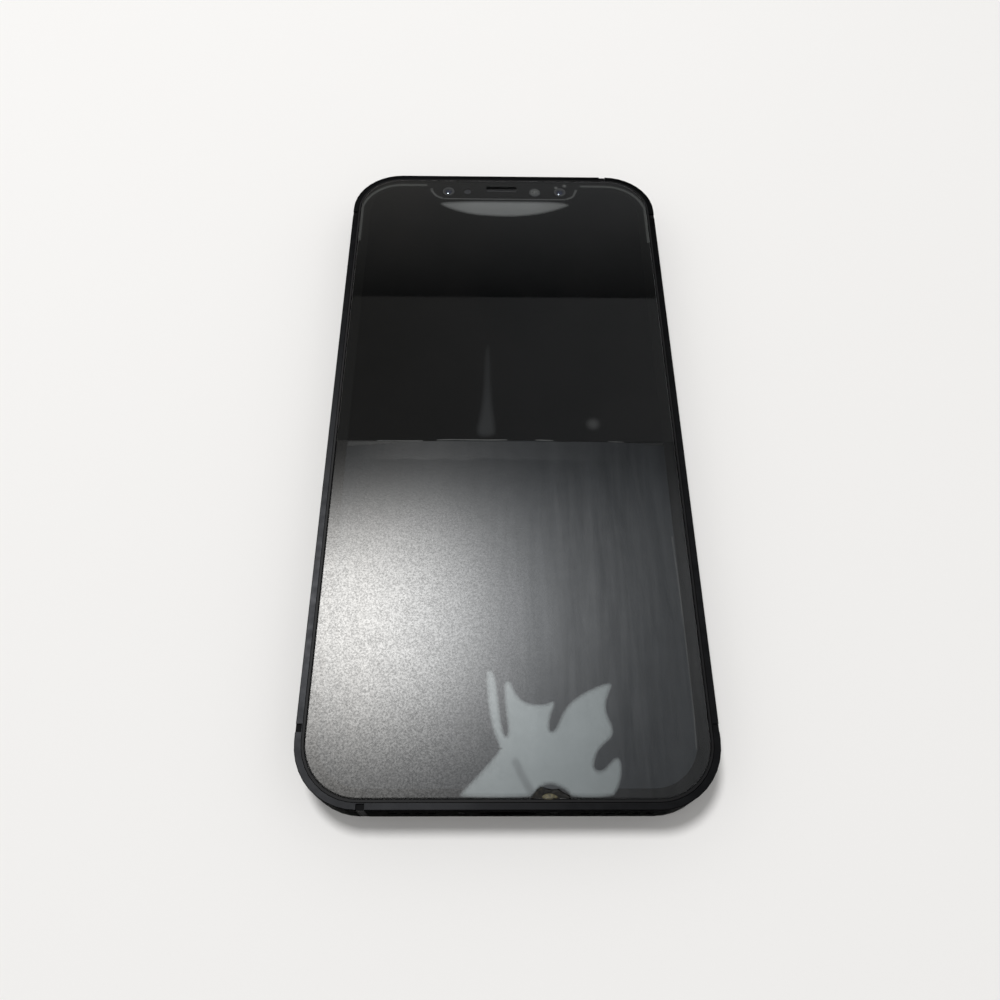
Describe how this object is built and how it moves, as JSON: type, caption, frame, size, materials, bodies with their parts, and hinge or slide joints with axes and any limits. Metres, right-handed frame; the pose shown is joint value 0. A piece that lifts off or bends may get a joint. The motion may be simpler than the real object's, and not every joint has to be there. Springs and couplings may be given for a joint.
{
  "type": "smartphone with a broken display",
  "caption": "Black slab smartphone with a wide notch, flat metal sides and a broken, chipped display, with its inner parts as separate solids.",
  "frame": {"origin": "under the middle of the phone, level with the lowest point of the rear camera rings", "axes": "+X to the phone's right seen from the front, +Y to its top end, +Z out of the screen"},
  "size_m": [0.0724, 0.1466, 0.0089],
  "materials": {
    "frame_metal": "black anodised, satin",
    "key_metal": "black anodised, satin",
    "antenna_plastic": "dark grey, moulded in place",
    "rear_glass": "black-backed glass, polished",
    "cover_glass": "clear, polished, chipped at the lower edge",
    "panel_black": "unlit display, black",
    "panel_satin": "unlit display, satin grey haze",
    "frame_plastic": "black",
    "lens_glass": "clear over black",
    "ring_metal": "black anodised, turned",
    "camera_metal": "black",
    "flash_cover": "frosted pale yellow",
    "flash_body": "yellow and white",
    "inner_steel": "pressed sheet",
    "screw_steel": "machined",
    "seal": "matt black gasket",
    "board": "solder mask",
    "flex": "amber film",
    "battery_wrap": "black wrap",
    "copper": "bare copper",
    "speaker_plastic": "black"
  },
  "bodies": {
    "phone": {"antenna_insert_bottom": "antenna_plastic", "antenna_insert_left_bottom": "antenna_plastic", "antenna_insert_left_top": "antenna_plastic", "antenna_insert_right_bottom": "antenna_plastic", "antenna_insert_right_top": "antenna_plastic", "antenna_insert_top": "antenna_plastic", "battery": "battery_wrap", "battery_flex": "flex", "board_can_lower": "inner_steel", "board_can_upper": "inner_steel", "board_screw_1": "screw_steel", "board_screw_2": "screw_steel", "board_screw_3": "screw_steel", "bottom_microphone": "inner_steel", "bottom_screw_left": "screw_steel", "bottom_screw_right": "screw_steel", "camera_bracket": "inner_steel", "charge_port": "inner_steel", "charging_coil": "copper", "cover_glass": "cover_glass", "display_backing": "inner_steel", "display_flex": "flex", "display_frame": "frame_plastic", "display_panel_lower": "panel_satin", "display_panel_upper": "panel_black", "display_seal": "seal", "dot_projector": "camera_metal", "earpiece_mesh": "inner_steel", "earpiece_speaker": "speaker_plastic", "flash_lens": "flash_cover", "flash_module": "flash_body", "flood_illuminator": "camera_metal", "front_camera": "camera_metal", "infrared_camera": "camera_metal", "logic_board": "board", "loudspeaker": "speaker_plastic", "magnet_ring": "inner_steel", "mid_frame": "frame_metal", "port_contacts": "copper", "port_flex": "flex", "rear_glass": "rear_glass", "side_dome_switch": "inner_steel", "sim_reader": "inner_steel", "ultrawide_camera": "camera_metal", "ultrawide_lens_cover": "lens_glass", "ultrawide_lens_ring": "ring_metal", "vibration_motor": "inner_steel", "volume_down_dome_switch": "inner_steel", "volume_up_dome_switch": "inner_steel", "wide_camera": "camera_metal", "wide_lens_cover": "lens_glass", "wide_lens_ring": "ring_metal"},
    "volume_up_key": {"volume_up_button": "key_metal"},
    "volume_down_key": {"volume_down_button": "key_metal"},
    "side_key": {"side_button": "key_metal"},
    "ring_switch_slider": {"ring_switch": "key_metal"},
    "card_tray": {"sim_tray": "key_metal"}
  },
  "joints": [
    {"name": "volume_up_press", "type": "slide", "parent": "phone", "child": "volume_up_key", "axis": [1, 0, 0], "range_m": [0, 0.00025], "stiffness_N_per_m": 1500, "springref_m": -0.0002},
    {"name": "volume_down_press", "type": "slide", "parent": "phone", "child": "volume_down_key", "axis": [1, 0, 0], "range_m": [0, 0.00025], "stiffness_N_per_m": 1500, "springref_m": -0.0002},
    {"name": "side_button_press", "type": "slide", "parent": "phone", "child": "side_key", "axis": [-1, 0, 0], "range_m": [0, 0.00025], "stiffness_N_per_m": 1500, "springref_m": -0.0002},
    {"name": "ring_switch_slide", "type": "slide", "parent": "phone", "child": "ring_switch_slider", "axis": [0, 0, -1], "range_m": [0, 0.0012]},
    {"name": "card_tray_slide", "type": "slide", "parent": "phone", "child": "card_tray", "axis": [-1, 0, 0], "range_m": [0, 0.0155]}
  ]
}
